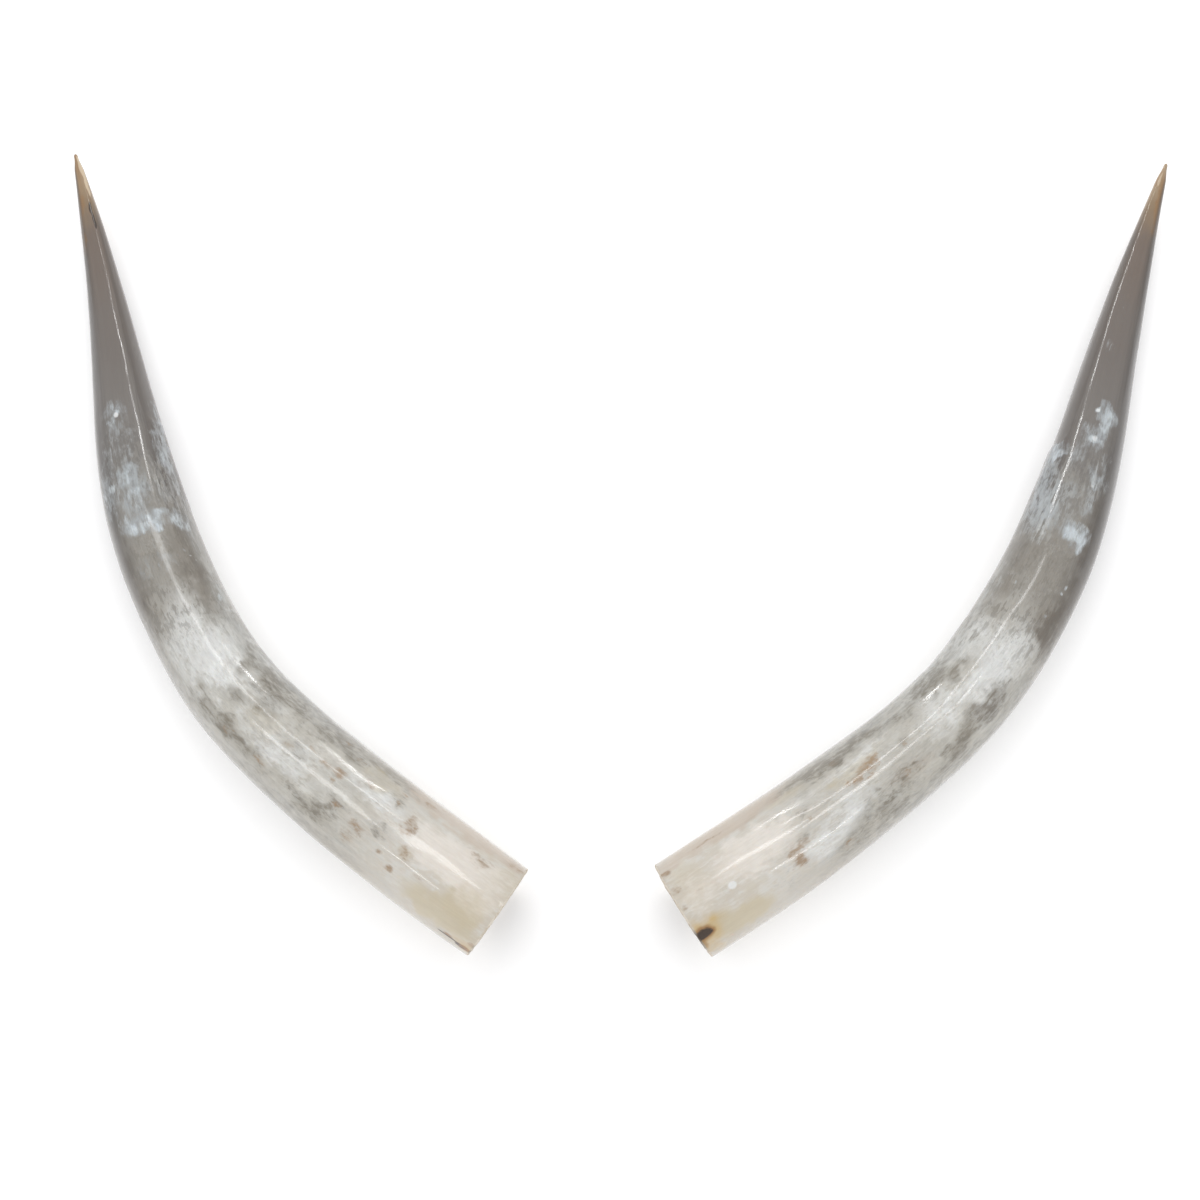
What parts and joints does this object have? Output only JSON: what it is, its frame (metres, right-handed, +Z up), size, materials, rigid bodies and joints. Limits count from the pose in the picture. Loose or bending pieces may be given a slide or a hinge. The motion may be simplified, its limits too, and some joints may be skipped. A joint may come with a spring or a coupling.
{
  "type": "pair of polished cow horns",
  "caption": "Long curved polished cow horns, one left and one right, hollow at the sawn base and tapering to a solid point, lying on their sides for display or craft use.",
  "frame": {"origin": "middle of the pair's footprint, on the surface that the horns lie on", "axes": "+X from the left horn's tip to the right horn's tip, +Y from the sawn ends towards the tips, +Z up from the surface"},
  "size_m": [1.0498, 0.7679, 0.0894],
  "materials": {
    "polished_horn": null
  },
  "bodies": {
    "root": {"horn_left": "polished_horn", "horn_right": "polished_horn"}
  },
  "joints": []
}
